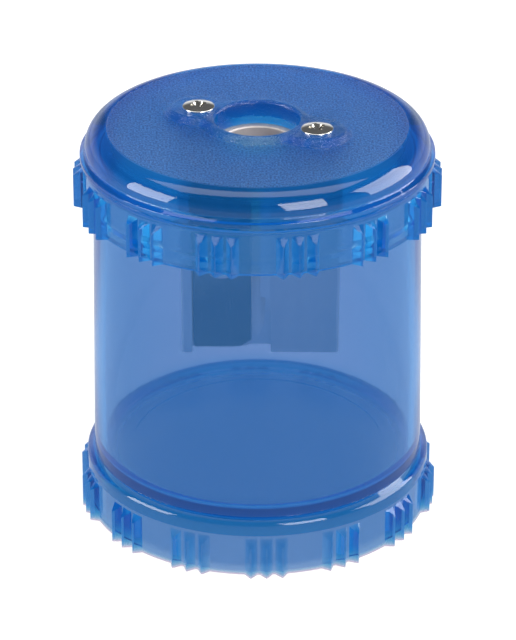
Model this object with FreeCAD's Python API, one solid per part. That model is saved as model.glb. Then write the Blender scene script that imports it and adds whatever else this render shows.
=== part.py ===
"""Canister pencil sharpener: clear container, push-on lid, and a metal wedge sharpener hung under the lid.

Millimetres, +Z up.  The origin is on the table, on the container's axis, which is also the pencil's axis.
The blade looks towards -Y.
"""
import math
import os

import FreeCAD
import Part

V = FreeCAD.Vector

# Container: one moulded cup with a raised floor and a ribbed foot skirt under it.
FOOT_R = 20.3
FOOT_INNER_R = 18.9
FOOT_SHOULDER_Z = 5.2
FOOT_SHOULDER_MID = (20.22, 5.6)
FOOT_LIP_R = 20.0
FOOT_LIP_Z = 5.9
FOOT_INNER_FILLET = 0.7
TUBE_R_BOTTOM = 19.45
TUBE_Z_BOTTOM = 7.2
TUBE_R_TOP = 18.97
TUBE_Z_TOP = 43.0
TUBE_WALL = 1.15
FLOOR_TOP_Z = 7.2
FLOOR_UNDER_Z = 5.9
FLOOR_FILLET = 1.9
RIM_EDGE = 0.25
SNAP_Z = 40.2
SNAP_HALF_HEIGHT = 0.5
SNAP_PROUD = 0.16

# Lid: a flat grained disc, a round shoulder, a thin bead and a ribbed skirt.
DISC_R = 17.2
DISC_Z = 47.95
DISC_UNDER_Z = 46.4
SHOULDER_END_R = 19.9
SHOULDER_END_Z = 45.3
SHOULDER_MID = (19.05, 47.17)
BEAD_R = 20.45
BEAD_CREST_R = 20.5
BEAD_TOP_Z = 44.75
BEAD_LOW_Z = 44.35
BEAD_FOOT_Z = 43.95
SKIRT_R = 20.2
SKIRT_INNER_R = 19.35
SKIRT_Z = 38.45
SKIRT_LEAD_IN = 0.25
LEDGE_Z = 43.4
LEDGE_R = 17.75
CROWN_R = 16.0
CROWN_MID = (17.25, 45.85)
CROWN_END_Z = 44.65
GROOVE_DEPTH = 0.22
GROOVE_SPARE = 0.2

# Raised pad on the disc, and the boss under it that the metal body is pulled up against.
PAD_Z = 48.75
PAD_CENTRE_R = 5.9
PAD_LOBE_R = 3.6
PAD_EDGE = 0.45
BOSS_Z = 45.9
PENCIL_HOLE_R = 4.87
PAD_SINK = 0.5
CUT_SPARE = 1.0

# Grip ribs, in groups of three, on the lid's skirt and on the foot.
RIB_GROUPS = 14
RIBS_PER_GROUP = 3
RIB_STEP_DEG = 5.0
RIB_TIP_R = 21.3
RIB_WIDTH = 1.45
RIB_ROOT_SINK = 0.25
LID_RIB_WALL_Z = 43.05
LID_RIB_TIP_Z = 42.35
LID_RIB_START_DEG = 12.857
FOOT_RIB_WALL_Z = 4.7
FOOT_RIB_TIP_Z = 3.95
FOOT_RIB_START_DEG = 2.9

# Lid screws: M2 countersunk, cross recess.
SCREW_X = 6.8
SCREW_Y = 3.2
SCREW_HEAD_R = 1.86
SCREW_HEAD_TOP_Z = 49.15
SCREW_CROWN = 0.3
SCREW_CROWN_MID = (0.6, 0.66)
SCREW_HEAD_EDGE = 0.07
SCREW_HEAD_LAND = 0.12
SCREW_HEAD_CONE = 1.0
SCREW_SHANK_R = 0.95
SCREW_SHANK_Z = 41.4
SCREW_TIP_R = 0.65
SCREW_TIP_TALL = 0.5
SCREW_FIT = 0.02
SCREW_LID_HOLE_R = 1.1
SCREW_SEAT_R = 1.92
CROSS_DEPTH = 0.8
CROSS_LONG = 1.3
CROSS_WIDE = 0.27
CROSS_FLOOR_LONG = 0.45
CROSS_FLOOR_WIDE = 0.17
CROSS_POINT_R = 0.15
CROSS_MOUTH_R = 0.85
CROSS_ABOVE = 0.3
CROSS_TILT_DEG = 20.0

# Metal sharpener body: a wedge whose front leans at the pencil cone's half-angle.
CONE_HALF_DEG = 11.5
CONE_APEX_Z = 22.9
PENCIL_R = 4.1
PENCIL_CHAMFER = 0.15
BODY_X_LOW = -8.97
BODY_X_HIGH = 9.6
BODY_Y_BACK = 5.5
BODY_Z_LOW = 19.0
BODY_TOP_Z = 45.85
FLANK_PROUD = 1.6
SEAT_X_LOW = -7.72
SEAT_SPARE_Z = 0.35
SLOT_X_LOW = -1.05
SLOT_X_HIGH = 0.33
SLOT_WIDE_X_HIGH = 1.57
SLOT_STEP_Z = 26.9
SLOT_STEP_R = 1.24
SLOT_TOP_Z = 44.2
SLOT_DEEPER = 0.35
SLOT_OVERLAP = 0.05
CONE_EXIT_R = 0.9
BODY_EDGE = 0.3

# Blade and its screw.
BLADE_LONG = 23.9
BLADE_WIDE = 6.88
BLADE_THICK = 0.6
BLADE_X_HIGH = -0.73
BLADE_Z_LOW = 19.33
BLADE_BEVEL = 1.5
BLADE_EDGE_THICK = 0.08
BLADE_CORNER = 0.5
BLADE_GAP = 0.02
BLADE_CUT_X = 1.15
BLADE_CUT_Z = 0.55
BLADE_HOLE_R = 1.35
BLADE_SCREW_X = -4.2
BLADE_SCREW_ALONG = 12.6
BLADE_SCREW_HEAD_R = 2.1
BLADE_SCREW_HEAD = 1.05
BLADE_SCREW_EDGE = 0.35
BLADE_SCREW_SHANK_R = 1.15
BLADE_SCREW_SHANK = 2.3
BLADE_SLOT_WIDE = 0.55
BLADE_SLOT_DEEP = 0.5
BLADE_SLOT_TURN_DEG = 35.0
BLADE_HOLE_SPARE = 0.3


def path(points):
    """Closed outline in the X-Z plane from (r, z) corners."""
    corners = [V(r, 0, z) for r, z in points]
    return Part.makePolygon(corners + [corners[0]])


def turned(outline):
    """Solid of revolution about Z from a closed outline in the X-Z plane."""
    return Part.Face(outline).revolve(V(0, 0, 0), V(0, 0, 1), 360)


def line(a, b):
    """Straight edge between two (r, z) points in the X-Z plane."""
    return Part.makeLine(V(a[0], 0, a[1]), V(b[0], 0, b[1]))


def arc(a, b, c):
    """Circular edge through three (r, z) points in the X-Z plane."""
    return Part.Arc(V(a[0], 0, a[1]), V(b[0], 0, b[1]), V(c[0], 0, c[1])).toShape()


def outward(deg, r, z):
    """Point at an angle from the front (-Y), positive towards +X, at radius r."""
    a = math.radians(deg)
    return V(r * math.sin(a), -r * math.cos(a), z)


def face(points):
    """Flat face from its corners."""
    return Part.Face(Part.makePolygon(points + [points[0]]))


def rib(deg, wall_r, low_z, wall_z, tip_z):
    """One upright rib: V-shaped in plan, flat below, its top sloping down to the tip."""
    root_r = wall_r - RIB_ROOT_SINK
    spread = (RIB_TIP_R - root_r) / (RIB_TIP_R - wall_r)
    half = math.degrees(RIB_WIDTH / 2 * spread / root_r)
    drop = (wall_z - tip_z) / (RIB_TIP_R - wall_r)
    root_z = wall_z + drop * RIB_ROOT_SINK
    left_low = outward(deg - half, root_r, low_z)
    right_low = outward(deg + half, root_r, low_z)
    tip_low = outward(deg, RIB_TIP_R, low_z)
    left_high = outward(deg - half, root_r, root_z)
    right_high = outward(deg + half, root_r, root_z)
    tip_high = outward(deg, RIB_TIP_R, tip_z)
    sides = [
        face([left_low, right_low, tip_low]),
        face([left_high, tip_high, right_high]),
        face([left_low, tip_low, tip_high, left_high]),
        face([tip_low, right_low, right_high, tip_high]),
        face([right_low, left_low, left_high, right_high]),
    ]
    return Part.Solid(Part.Shell(sides))


def rib_ring(start_deg, wall_r, low_z, wall_z, tip_z):
    """All the ribs of one ring, in evenly spaced groups of three."""
    ribs = []
    for group in range(RIB_GROUPS):
        centre = start_deg + group * 360.0 / RIB_GROUPS
        for k in range(RIBS_PER_GROUP):
            offset = (k - (RIBS_PER_GROUP - 1) / 2) * RIB_STEP_DEG
            ribs.append(rib(centre + offset, wall_r, low_z, wall_z, tip_z))
    return ribs


def tube_outer(z):
    """Outer radius of the tapered tube at a height."""
    share = (z - TUBE_Z_BOTTOM) / (TUBE_Z_TOP - TUBE_Z_BOTTOM)
    return TUBE_R_BOTTOM + share * (TUBE_R_TOP - TUBE_R_BOTTOM)


def edges_above(shape, z):
    """The edges of a shape that lie at a height or above it."""
    return [edge for edge in shape.Edges if edge.BoundBox.ZMin > z - 0.01]


def make_container():
    """Tapered tube, raised floor, hollow foot skirt, snap bead and grip ribs, all one moulding."""
    inner_top = TUBE_R_TOP - TUBE_WALL
    fillet_top_z = FLOOR_TOP_Z + FLOOR_FILLET
    inner_low = tube_outer(fillet_top_z) - TUBE_WALL
    fillet_r = inner_low - FLOOR_FILLET
    half_turn = 1 - math.sqrt(0.5)
    fillet_mid = (inner_low - FLOOR_FILLET * half_turn, FLOOR_TOP_Z + FLOOR_FILLET * half_turn)
    bead_low = (tube_outer(SNAP_Z - SNAP_HALF_HEIGHT), SNAP_Z - SNAP_HALF_HEIGHT)
    bead_mid = (tube_outer(SNAP_Z) + SNAP_PROUD, SNAP_Z)
    bead_high = (tube_outer(SNAP_Z + SNAP_HALF_HEIGHT), SNAP_Z + SNAP_HALF_HEIGHT)
    foot_mid = FOOT_INNER_FILLET * half_turn
    foot_turn = (FOOT_INNER_R - FOOT_INNER_FILLET, FLOOR_UNDER_Z)
    foot_end = (FOOT_INNER_R, FLOOR_UNDER_Z - FOOT_INNER_FILLET)
    edges = [
        line((0, FLOOR_UNDER_Z), foot_turn),
        arc(foot_turn, (FOOT_INNER_R - foot_mid, FLOOR_UNDER_Z - foot_mid), foot_end),
        line(foot_end, (FOOT_INNER_R, 0)),
        line((FOOT_INNER_R, 0), (FOOT_R, 0)),
        line((FOOT_R, 0), (FOOT_R, FOOT_SHOULDER_Z)),
        arc((FOOT_R, FOOT_SHOULDER_Z), FOOT_SHOULDER_MID, (FOOT_LIP_R, FOOT_LIP_Z)),
        line((FOOT_LIP_R, FOOT_LIP_Z), (TUBE_R_BOTTOM, TUBE_Z_BOTTOM)),
        line((TUBE_R_BOTTOM, TUBE_Z_BOTTOM), bead_low),
        arc(bead_low, bead_mid, bead_high),
        line(bead_high, (TUBE_R_TOP, TUBE_Z_TOP - RIM_EDGE)),
        line((TUBE_R_TOP, TUBE_Z_TOP - RIM_EDGE), (TUBE_R_TOP - RIM_EDGE, TUBE_Z_TOP)),
        line((TUBE_R_TOP - RIM_EDGE, TUBE_Z_TOP), (inner_top + RIM_EDGE, TUBE_Z_TOP)),
        line((inner_top + RIM_EDGE, TUBE_Z_TOP), (inner_top, TUBE_Z_TOP - RIM_EDGE)),
        line((inner_top, TUBE_Z_TOP - RIM_EDGE), (inner_low, fillet_top_z)),
        arc((inner_low, fillet_top_z), fillet_mid, (fillet_r, FLOOR_TOP_Z)),
        line((fillet_r, FLOOR_TOP_Z), (0, FLOOR_TOP_Z)),
        line((0, FLOOR_TOP_Z), (0, FLOOR_UNDER_Z)),
    ]
    cup = turned(Part.Wire(edges))
    ribs = rib_ring(FOOT_RIB_START_DEG, FOOT_R, 0, FOOT_RIB_WALL_Z, FOOT_RIB_TIP_Z)
    return cup.fuse(ribs).removeSplitter()


def lobed(low_z, high_z):
    """Upright solid: a disc about the axis with a rounded arm out to each screw."""
    tall = high_z - low_z
    reach = math.hypot(SCREW_X, SCREW_Y)
    turn = math.degrees(math.atan2(-SCREW_Y, SCREW_X))
    middle = Part.makeCylinder(PAD_CENTRE_R, tall, V(0, 0, low_z))
    arm = Part.makeBox(2 * reach, 2 * PAD_LOBE_R, tall, V(-reach, -PAD_LOBE_R, low_z))
    arm.rotate(V(0, 0, 0), V(0, 0, 1), turn)
    left = Part.makeCylinder(PAD_LOBE_R, tall, V(-SCREW_X, SCREW_Y, low_z))
    right = Part.makeCylinder(PAD_LOBE_R, tall, V(SCREW_X, -SCREW_Y, low_z))
    return middle.fuse([arm, left, right]).removeSplitter()


def screw_places():
    """The two lid screws' (x, y), left one to the rear and right one to the front."""
    return [(-SCREW_X, SCREW_Y), (SCREW_X, -SCREW_Y)]


def make_lid():
    """Disc, rounded shoulder, bead and ribbed skirt, with the pad, its boss and three holes."""
    groove_low = (SKIRT_INNER_R, SNAP_Z - SNAP_HALF_HEIGHT - GROOVE_SPARE)
    groove_mid = (SKIRT_INNER_R + GROOVE_DEPTH, SNAP_Z)
    groove_high = (SKIRT_INNER_R, SNAP_Z + SNAP_HALF_HEIGHT + GROOVE_SPARE)
    edges = [
        line((0, DISC_UNDER_Z), (CROWN_R, DISC_UNDER_Z)),
        arc((CROWN_R, DISC_UNDER_Z), CROWN_MID, (LEDGE_R, CROWN_END_Z)),
        line((LEDGE_R, CROWN_END_Z), (LEDGE_R, LEDGE_Z)),
        line((LEDGE_R, LEDGE_Z), (SKIRT_INNER_R, LEDGE_Z)),
        line((SKIRT_INNER_R, LEDGE_Z), groove_high),
        arc(groove_high, groove_mid, groove_low),
        line(groove_low, (SKIRT_INNER_R, SKIRT_Z + SKIRT_LEAD_IN)),
        line((SKIRT_INNER_R, SKIRT_Z + SKIRT_LEAD_IN), (SKIRT_INNER_R + SKIRT_LEAD_IN, SKIRT_Z)),
        line((SKIRT_INNER_R + SKIRT_LEAD_IN, SKIRT_Z), (SKIRT_R, SKIRT_Z)),
        line((SKIRT_R, SKIRT_Z), (SKIRT_R, BEAD_FOOT_Z)),
        line((SKIRT_R, BEAD_FOOT_Z), (BEAD_R, BEAD_LOW_Z)),
        arc((BEAD_R, BEAD_LOW_Z), (BEAD_CREST_R, (BEAD_LOW_Z + BEAD_TOP_Z) / 2), (BEAD_R, BEAD_TOP_Z)),
        line((BEAD_R, BEAD_TOP_Z), (SHOULDER_END_R, SHOULDER_END_Z)),
        arc((SHOULDER_END_R, SHOULDER_END_Z), SHOULDER_MID, (DISC_R, DISC_Z)),
        line((DISC_R, DISC_Z), (0, DISC_Z)),
        line((0, DISC_Z), (0, DISC_UNDER_Z)),
    ]
    cap = turned(Part.Wire(edges))
    pad = lobed(DISC_Z - PAD_SINK, PAD_Z)
    pad = pad.makeFillet(PAD_EDGE, edges_above(pad, PAD_Z))
    boss = lobed(BOSS_Z, DISC_Z - PAD_SINK)
    ribs = rib_ring(LID_RIB_START_DEG, SKIRT_R, SKIRT_Z, LID_RIB_WALL_Z, LID_RIB_TIP_Z)
    lid = cap.fuse([pad, boss] + ribs).removeSplitter()
    through = PAD_Z - BOSS_Z + 2 * CUT_SPARE
    holes = [Part.makeCylinder(PENCIL_HOLE_R, through, V(0, 0, BOSS_Z - CUT_SPARE))]
    seat_top = SCREW_HEAD_TOP_Z - SCREW_CROWN - SCREW_HEAD_LAND
    for x, y in screw_places():
        seat_tall = SCREW_HEAD_CONE
        seat = Part.makeCone(SCREW_LID_HOLE_R, SCREW_SEAT_R, seat_tall, V(x, y, seat_top - seat_tall))
        mouth = Part.makeCylinder(SCREW_SEAT_R, CUT_SPARE, V(x, y, seat_top))
        shank_tall = seat_top - BOSS_Z + CUT_SPARE
        shank = Part.makeCylinder(SCREW_LID_HOLE_R, shank_tall, V(x, y, BOSS_Z - CUT_SPARE))
        holes.append(seat.fuse([mouth, shank]))
    lid = lid.cut(holes)
    return lid.removeSplitter()


def front_y(z, proud):
    """Y of the leaning front face at a height; proud 0 is the blade's seat."""
    lean = math.tan(math.radians(CONE_HALF_DEG))
    return -(z - CONE_APEX_Z) * lean - proud / math.cos(math.radians(CONE_HALF_DEG))


def wedge(x_low, x_high, proud, z_low, z_high):
    """Leaning-fronted block between two X values and two heights."""
    corners = [
        V(x_low, front_y(z_low, proud), z_low),
        V(x_low, BODY_Y_BACK, z_low),
        V(x_low, BODY_Y_BACK, z_high),
        V(x_low, front_y(z_high, proud), z_high),
    ]
    return face(corners).extrude(V(x_high - x_low, 0, 0))


def front_cut(outline, proud):
    """Solid in front of the seat plane over an (x, z) outline, for milling the front away."""
    clear = 30.0
    behind = 5.0
    tall = 60.0
    block = Part.Face(outline).extrude(V(0, clear + behind, 0))
    block.translate(V(0, -clear, 0))
    corners = [
        V(-clear, front_y(0, proud), 0),
        V(-clear, front_y(tall, proud), tall),
        V(-clear, -clear, tall),
        V(-clear, -clear, 0),
    ]
    return block.common(face(corners).extrude(V(2 * clear, 0, 0)))


def slot_outline():
    """Chip opening in (x, z): narrow above, a rounded step, then wider and open at the bottom."""
    x_low = SLOT_X_LOW
    below = BODY_Z_LOW - CUT_SPARE
    step_low = SLOT_STEP_Z - SLOT_STEP_R
    bend = SLOT_STEP_R * math.sqrt(0.5)
    edges = [
        line((x_low, below), (SLOT_WIDE_X_HIGH, below)),
        line((SLOT_WIDE_X_HIGH, below), (SLOT_WIDE_X_HIGH, step_low)),
        arc((SLOT_WIDE_X_HIGH, step_low), (SLOT_X_HIGH + bend, step_low + bend), (SLOT_X_HIGH, SLOT_STEP_Z)),
        line((SLOT_X_HIGH, SLOT_STEP_Z), (SLOT_X_HIGH, SLOT_TOP_Z)),
        line((SLOT_X_HIGH, SLOT_TOP_Z), (x_low, SLOT_TOP_Z)),
        line((x_low, SLOT_TOP_Z), (x_low, below)),
    ]
    return Part.Wire(edges)


def seat_outline():
    """Blade channel in (x, z): between the left ridge and the chip opening, open at the bottom."""
    below = BODY_Z_LOW - CUT_SPARE
    top = BLADE_Z_LOW + BLADE_LONG * math.cos(math.radians(CONE_HALF_DEG)) + SEAT_SPARE_Z
    x_high = SLOT_X_LOW + SLOT_OVERLAP
    return path([(SEAT_X_LOW, below), (x_high, below), (x_high, top), (SEAT_X_LOW, top)])


def on_seat(shape):
    """Stand a piece built flat (x across, y along the seat, z out of it) on the leaning seat."""
    shape = shape.copy()
    shape.rotate(V(0, 0, 0), V(1, 0, 0), 90 + CONE_HALF_DEG)
    shape.translate(V(0, front_y(BLADE_Z_LOW, 0), BLADE_Z_LOW))
    return shape


def make_sharpener_body():
    """Machined wedge: entry bore, pencil cone, blade channel, chip opening and screw holes."""
    block = wedge(BODY_X_LOW, BODY_X_HIGH, FLANK_PROUD, BODY_Z_LOW, BODY_TOP_Z)
    upright = []
    for edge in block.Edges:
        if edge.BoundBox.ZLength > (BODY_TOP_Z - BODY_Z_LOW) / 2:
            upright.append(edge)
    block = block.makeChamfer(BODY_EDGE, upright)
    lean = math.tan(math.radians(CONE_HALF_DEG))
    cone_top = CONE_APEX_Z + PENCIL_R / lean
    exit_z = CONE_APEX_Z + CONE_EXIT_R / lean
    entry = V(0, 0, BODY_TOP_Z - PENCIL_CHAMFER)
    cutters = [
        Part.makeCone(CONE_EXIT_R, PENCIL_R, cone_top - exit_z, V(0, 0, exit_z)),
        Part.makeCylinder(CONE_EXIT_R, exit_z - BODY_Z_LOW + CUT_SPARE, V(0, 0, BODY_Z_LOW - CUT_SPARE)),
        Part.makeCylinder(PENCIL_R, BODY_TOP_Z - cone_top + CUT_SPARE, V(0, 0, cone_top)),
        Part.makeCone(PENCIL_R, PENCIL_R + PENCIL_CHAMFER, PENCIL_CHAMFER, entry),
        front_cut(seat_outline(), 0),
        front_cut(slot_outline(), -SLOT_DEEPER),
    ]
    thread_low = SCREW_SHANK_Z - SCREW_TIP_TALL
    thread_tall = BODY_TOP_Z - thread_low + CUT_SPARE
    for x, y in screw_places():
        cutters.append(Part.makeCylinder(SCREW_SHANK_R + SCREW_FIT, thread_tall, V(x, y, thread_low)))
    hole_tall = BLADE_SCREW_SHANK + 2 * BLADE_HOLE_SPARE
    hole = Part.makeCylinder(BLADE_SCREW_SHANK_R + SCREW_FIT, hole_tall)
    hole.translate(V(BLADE_SCREW_X, BLADE_SCREW_ALONG, -BLADE_SCREW_SHANK - BLADE_HOLE_SPARE))
    cutters.append(on_seat(hole))
    return block.cut(cutters).removeSplitter()


def make_blade():
    """Ground steel blade: one round corner, one cut corner, a long bevel and a screw hole."""
    left = BLADE_X_HIGH - BLADE_WIDE
    right = BLADE_X_HIGH
    bend = BLADE_CORNER * (1 - math.sqrt(0.5))
    flat = Part.Wire([
        Part.makeLine(V(left + BLADE_CORNER, 0, 0), V(right - BLADE_CUT_X, 0, 0)),
        Part.makeLine(V(right - BLADE_CUT_X, 0, 0), V(right, BLADE_CUT_Z, 0)),
        Part.makeLine(V(right, BLADE_CUT_Z, 0), V(right, BLADE_LONG, 0)),
        Part.makeLine(V(right, BLADE_LONG, 0), V(left, BLADE_LONG, 0)),
        Part.makeLine(V(left, BLADE_LONG, 0), V(left, BLADE_CORNER, 0)),
        Part.Arc(V(left, BLADE_CORNER, 0), V(left + bend, bend, 0), V(left + BLADE_CORNER, 0, 0)).toShape(),
    ])
    plate = Part.Face(flat).extrude(V(0, 0, BLADE_THICK))
    hole_tall = BLADE_THICK + 2 * CUT_SPARE
    hole_low = V(BLADE_SCREW_X, BLADE_SCREW_ALONG, -CUT_SPARE)
    plate = plate.cut(Part.makeCylinder(BLADE_HOLE_R, hole_tall, hole_low))
    slope = (BLADE_THICK - BLADE_EDGE_THICK) / BLADE_BEVEL
    past = 0.2
    bevel = face([
        V(right - BLADE_BEVEL, -CUT_SPARE, BLADE_THICK),
        V(right + past, -CUT_SPARE, BLADE_EDGE_THICK - past * slope),
        V(right + past, -CUT_SPARE, BLADE_THICK + CUT_SPARE),
        V(right - BLADE_BEVEL, -CUT_SPARE, BLADE_THICK + CUT_SPARE),
    ]).extrude(V(0, BLADE_LONG + 2 * CUT_SPARE, 0))
    blade = on_seat(plate.cut(bevel))
    lean = math.radians(CONE_HALF_DEG)
    blade.translate(V(0, -BLADE_GAP * math.cos(lean), -BLADE_GAP * math.sin(lean)))
    return blade


def make_blade_screw():
    """Slotted cheese-head screw through the blade into the seat."""
    x = BLADE_SCREW_X
    y = BLADE_SCREW_ALONG
    under = BLADE_THICK + BLADE_GAP
    top = under + BLADE_SCREW_HEAD
    head = Part.makeCylinder(BLADE_SCREW_HEAD_R, BLADE_SCREW_HEAD, V(x, y, under))
    head = head.makeFillet(BLADE_SCREW_EDGE, edges_above(head, top))
    shank = Part.makeCylinder(BLADE_SCREW_SHANK_R, BLADE_SCREW_SHANK + under, V(x, y, -BLADE_SCREW_SHANK))
    slot_long = 2 * (BLADE_SCREW_HEAD_R + CUT_SPARE)
    slot_deep = V(x - slot_long / 2, y - BLADE_SLOT_WIDE / 2, top - BLADE_SLOT_DEEP)
    slot = Part.makeBox(slot_long, BLADE_SLOT_WIDE, BLADE_SLOT_DEEP + CUT_SPARE, slot_deep)
    slot.rotate(V(x, y, 0), V(0, 0, 1), BLADE_SLOT_TURN_DEG)
    return on_seat(head.fuse(shank).cut(slot))


def oblong(half_long, half_wide, z):
    """Outline of a rectangle about the Z axis, at a height."""
    corners = [
        V(-half_long, -half_wide, z),
        V(half_long, -half_wide, z),
        V(half_long, half_wide, z),
        V(-half_long, half_wide, z),
    ]
    return Part.makePolygon(corners + [corners[0]])


def cross_recess(x, y, top_z):
    """Cross recess: two tapered wings over a pointed middle."""
    wings = []
    for quarter in (0, 90):
        mouth = oblong(CROSS_LONG, CROSS_WIDE, CROSS_ABOVE)
        floor = oblong(CROSS_FLOOR_LONG, CROSS_FLOOR_WIDE, -CROSS_DEPTH)
        wing = Part.makeLoft([mouth, floor], True, True)
        wing.rotate(V(0, 0, 0), V(0, 0, 1), quarter + CROSS_TILT_DEG)
        wings.append(wing)
    point = Part.makeCone(CROSS_POINT_R, CROSS_MOUTH_R, CROSS_DEPTH + CROSS_ABOVE, V(0, 0, -CROSS_DEPTH))
    recess = wings[0].fuse([wings[1], point])
    recess.translate(V(x, y, top_z))
    return recess


def make_lid_screw(x, y):
    """Countersunk screw with a low crown and a cross recess, holding lid and body together."""
    land_top = SCREW_HEAD_TOP_Z - SCREW_CROWN
    cone_top = land_top - SCREW_HEAD_LAND
    cone_low = cone_top - SCREW_HEAD_CONE
    crown_mid = (SCREW_HEAD_R * SCREW_CROWN_MID[0], land_top + SCREW_CROWN * SCREW_CROWN_MID[1])
    thread_low = SCREW_SHANK_Z + SCREW_TIP_TALL
    edges = [
        line((0, SCREW_SHANK_Z), (SCREW_TIP_R, SCREW_SHANK_Z)),
        line((SCREW_TIP_R, SCREW_SHANK_Z), (SCREW_SHANK_R, thread_low)),
        line((SCREW_SHANK_R, thread_low), (SCREW_SHANK_R, cone_low)),
        line((SCREW_SHANK_R, cone_low), (SCREW_HEAD_R, cone_top)),
        line((SCREW_HEAD_R, cone_top), (SCREW_HEAD_R, land_top)),
        arc((SCREW_HEAD_R, land_top), crown_mid, (0, SCREW_HEAD_TOP_Z)),
        line((0, SCREW_HEAD_TOP_Z), (0, SCREW_SHANK_Z)),
    ]
    screw = turned(Part.Wire(edges))
    rim = [edge for edge in edges_above(screw, land_top) if edge.Length > 2 * math.pi * SCREW_HEAD_R - 0.1]
    screw = screw.makeFillet(SCREW_HEAD_EDGE, rim)
    screw.translate(V(x, y, 0))
    return screw.cut(cross_recess(x, y, SCREW_HEAD_TOP_Z))


def save(name, shape):
    """Write one node's STEP file after a basic check of the solid."""
    if not shape.isValid() or len(shape.Solids) != 1:
        raise RuntimeError(name + " is not one valid solid")
    shape.Solids[0].exportStep(os.path.join("parts", name + ".step"))
    print(name, round(shape.Volume, 1), shape.BoundBox)


def main():
    """Build and write every piece."""
    os.makedirs("parts", exist_ok=True)
    left, right = screw_places()
    save("container", make_container())
    save("lid", make_lid())
    save("sharpener_body", make_sharpener_body())
    save("blade", make_blade())
    save("blade_screw", make_blade_screw())
    save("lid_screw_left", make_lid_screw(*left))
    save("lid_screw_right", make_lid_screw(*right))


main()
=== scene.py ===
"""A clear canister pencil sharpener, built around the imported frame, and its studio.  Metres, +Z up."""

import math

import bpy
import numpy as np
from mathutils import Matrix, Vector


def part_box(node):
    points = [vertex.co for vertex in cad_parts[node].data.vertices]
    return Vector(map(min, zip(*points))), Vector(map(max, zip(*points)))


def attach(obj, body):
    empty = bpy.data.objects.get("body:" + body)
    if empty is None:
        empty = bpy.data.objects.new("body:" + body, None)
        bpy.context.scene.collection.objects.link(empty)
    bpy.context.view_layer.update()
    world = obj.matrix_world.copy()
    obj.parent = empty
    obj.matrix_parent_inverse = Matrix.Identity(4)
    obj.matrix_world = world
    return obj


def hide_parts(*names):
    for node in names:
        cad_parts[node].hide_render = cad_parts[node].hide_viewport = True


bl_info = {
    "name": "Canister Sharpener",
    "version": (1, 0, 0),
    "blender": (4, 5, 0),
    "location": "3D View > Sidebar > Sharpener",
    "description": "Builds a clear canister pencil sharpener and its studio",
    "category": "Object",
}

MM = 0.001
CREASE = 32.0  # degrees: an edge that turns more than this stays sharp
SMALL = 0.01 * MM  # two places nearer than this count as one
HUB = 1.0 * MM  # where an outline stops short of the axis, for a fan to close it
BAND_END = 0.06 * MM  # how far a ribbed band's last row stands above the top of its wall
RIB_COLUMNS = 11  # columns across one rib
RIB_CROWDING = 3.0  # how strongly they crowd towards its tip
GAP_COLUMNS = 8  # columns between two groups of ribs
PAD_ROWS = 40  # rows over the lid's pad
LIGHT_AIM = 30.0 * MM  # height of the point that the lights face
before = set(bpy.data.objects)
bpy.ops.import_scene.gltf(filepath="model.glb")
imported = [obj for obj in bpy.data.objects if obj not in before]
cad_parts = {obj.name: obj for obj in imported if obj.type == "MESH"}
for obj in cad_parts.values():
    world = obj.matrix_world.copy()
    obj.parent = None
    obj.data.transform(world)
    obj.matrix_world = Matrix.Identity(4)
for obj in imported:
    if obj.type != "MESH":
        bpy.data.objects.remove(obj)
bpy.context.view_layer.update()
CONTAINER_LOW, CONTAINER_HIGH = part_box("container")
LID_LOW, LID_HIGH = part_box("lid")
SCREW_BOXES = [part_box("lid_screw_left"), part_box("lid_screw_right")]


# ---------------------------------------------------------------- settings

def length(label, millimetres, about):
    """A length property whose default is given in millimetres."""
    return bpy.props.FloatProperty(
        name=label, description=about, default=millimetres * MM, precision=5,
        subtype="DISTANCE", unit="LENGTH")


def angle(label, degrees, about):
    """An angle property whose default is given in degrees."""
    return bpy.props.FloatProperty(
        name=label, description=about, default=math.radians(degrees), subtype="ANGLE", unit="ROTATION")


def colour(label, value, about):
    """A linear colour property."""
    return bpy.props.FloatVectorProperty(
        name=label, description=about, default=value, size=3, min=0.0, max=1.0, subtype="COLOR")


def factor(label, value, about):
    """A plain number from 0 to 1."""
    return bpy.props.FloatProperty(
        name=label, description=about, default=value, min=0.0, max=1.0, subtype="FACTOR")


class RibSizes(bpy.types.PropertyGroup):
    """Grip ribs that the lid and the foot share."""

    groups: bpy.props.IntProperty(name="Groups", description="Groups of ribs round the rim", default=14)
    per_group: bpy.props.IntProperty(name="Per group", description="Ribs in each group", default=3)
    pitch: angle("Pitch", 5.0, "Angle from one rib to the next in a group")
    width: length("Width", 1.45, "Width of a rib where it meets the wall")
    lid_turn: angle("Lid turn", 12.857, "Angle from the front to a group's middle on the lid")
    foot_turn: angle("Foot turn", 2.9, "Angle from the front to a group's middle on the foot")
    slope: length("Slope", 0.7, "How much lower a rib's top is at its tip than at the wall")
    tip_round: factor("Tip round", 0.055, "Softness of a rib's outer edge, as a share of its half width")


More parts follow.
